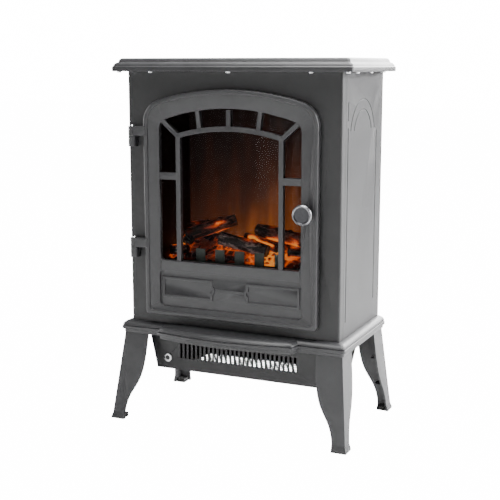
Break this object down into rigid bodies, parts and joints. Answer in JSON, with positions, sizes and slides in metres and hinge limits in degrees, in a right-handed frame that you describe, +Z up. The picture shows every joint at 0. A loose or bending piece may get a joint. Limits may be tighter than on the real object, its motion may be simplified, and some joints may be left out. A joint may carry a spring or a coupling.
{
  "type": "electric stove heater",
  "caption": "Free-standing electric stove: cabinet on splayed legs, arched hinged door over a glazed log-effect firebox, and a slotted fan heater under the base.",
  "frame": {"origin": "centre of the footprint's box, on the floor", "axes": "+Z up, -Y the front with the door, +X to the right seen from the front"},
  "size_m": [0.4054, 0.2492, 0.58],
  "materials": {
    "charcoal_moulding": "satin, fine spark texture",
    "charcoal_powder_coat": "satin powder coat",
    "bare_sheet": "zinc-plated sheet",
    "firebox_black": "matt black",
    "grate_iron": "matt grey-green",
    "knob_pewter": "polished rim, dark dished face",
    "zinc_screws": "bright zinc",
    "foot_rubber": "matt",
    "clear_glass": "clear float",
    "charred_log": "bark texture with glowing cracks",
    "ember_resin": "translucent, lit from below",
    "flame_diffuser": "frosted, warm glow",
    "bright_fins": "mirror bright",
    "motor_steel": "plated",
    "fan_black": "matt",
    "bush_bronze": "sintered",
    "control_black": "gloss",
    "tray_coat": "satin powder coat",
    "board_green": "solder mask",
    "terminal_white": "natural",
    "cutout_ceramic": "glazed body"
  },
  "bodies": {
    "stove": {"back_panel": "charcoal_powder_coat", "back_panel_screws": "zinc_screws", "base_plate": "charcoal_moulding", "blower_bearing": "bush_bronze", "blower_motor": "motor_steel", "blower_scroll": "bare_sheet", "control_tray": "tray_coat", "cord_gland": "fan_black", "element_brackets": "bare_sheet", "ember_bed": "ember_resin", "fire_grate": "grate_iron", "firebox_liner": "firebox_black", "flame_motor": "motor_steel", "flame_screen": "flame_diffuser", "foot_pads": "foot_rubber", "front_panel": "charcoal_powder_coat", "glass_gasket": "foot_rubber", "heater_grille": "bare_sheet", "heater_housing": "charcoal_powder_coat", "heating_element": "bright_fins", "hinge_brackets": "charcoal_powder_coat", "hinge_pins": "zinc_screws", "housing_screws": "zinc_screws", "led_board": "board_green", "left_side_panel": "charcoal_powder_coat", "leg_front_left": "charcoal_moulding", "leg_front_right": "charcoal_moulding", "leg_rear_left": "charcoal_moulding", "leg_rear_right": "charcoal_moulding", "leg_screws": "zinc_screws", "log_back_left": "charred_log", "log_front": "charred_log", "log_left_stub": "charred_log", "log_left_stump": "charred_log", "log_long": "charred_log", "log_middle": "charred_log", "log_right": "charred_log", "log_right_stub": "charred_log", "magnet_catch": "motor_steel", "right_side_panel": "charcoal_powder_coat", "rotor_brackets": "bare_sheet", "switch_bodies": "fan_black", "terminal_block": "terminal_white", "thermal_cutout": "cutout_ceramic", "thermostat_body": "fan_black", "top_plate": "charcoal_moulding", "top_screws": "zinc_screws", "top_underplate": "bare_sheet", "window_glass": "clear_glass"},
    "door": {"door_frame": "charcoal_moulding", "door_knob": "knob_pewter", "knob_screw": "zinc_screws", "door_strike": "bare_sheet"},
    "flame_rocker": {"flame_switch": "control_black"},
    "low_heat_rocker": {"low_heat_switch": "control_black"},
    "high_heat_rocker": {"high_heat_switch": "control_black"},
    "heat_dial": {"thermostat_knob": "control_black"},
    "fan": {"blower_rotor": "fan_black", "blower_shaft": "motor_steel"},
    "flame_spinner": {"flame_rotor": "bright_fins"}
  },
  "joints": [
    {"name": "door_swing", "type": "hinge", "parent": "stove", "child": "door", "pos_m": [-0.1665, -0.0883, 0.37275], "axis": [0, 0, -1], "range_deg": [0, 110]},
    {"name": "flame_rocker_tilt", "type": "hinge", "parent": "stove", "child": "flame_rocker", "pos_m": [-0.078, -0.0623, 0.2215], "axis": [-1, 0, 0], "range_deg": [0, 16]},
    {"name": "low_heat_rocker_tilt", "type": "hinge", "parent": "stove", "child": "low_heat_rocker", "pos_m": [-0.04607, -0.0623, 0.2215], "axis": [-1, 0, 0], "range_deg": [0, 16]},
    {"name": "high_heat_rocker_tilt", "type": "hinge", "parent": "stove", "child": "high_heat_rocker", "pos_m": [-0.01404, -0.0623, 0.2215], "axis": [-1, 0, 0], "range_deg": [0, 16]},
    {"name": "heat_dial_turn", "type": "hinge", "parent": "stove", "child": "heat_dial", "pos_m": [0.05408, -0.0643, 0.2215], "axis": [0, 1, 0], "range_deg": [0, 270]},
    {"name": "fan_spin", "type": "hinge", "parent": "stove", "child": "fan", "pos_m": [0, 0.0511, 0.152], "axis": [1, 0, 0], "continuous": true},
    {"name": "flame_spin", "type": "hinge", "parent": "stove", "child": "flame_spinner", "pos_m": [0, 0.0659, 0.29], "axis": [1, 0, 0], "continuous": true}
  ]
}
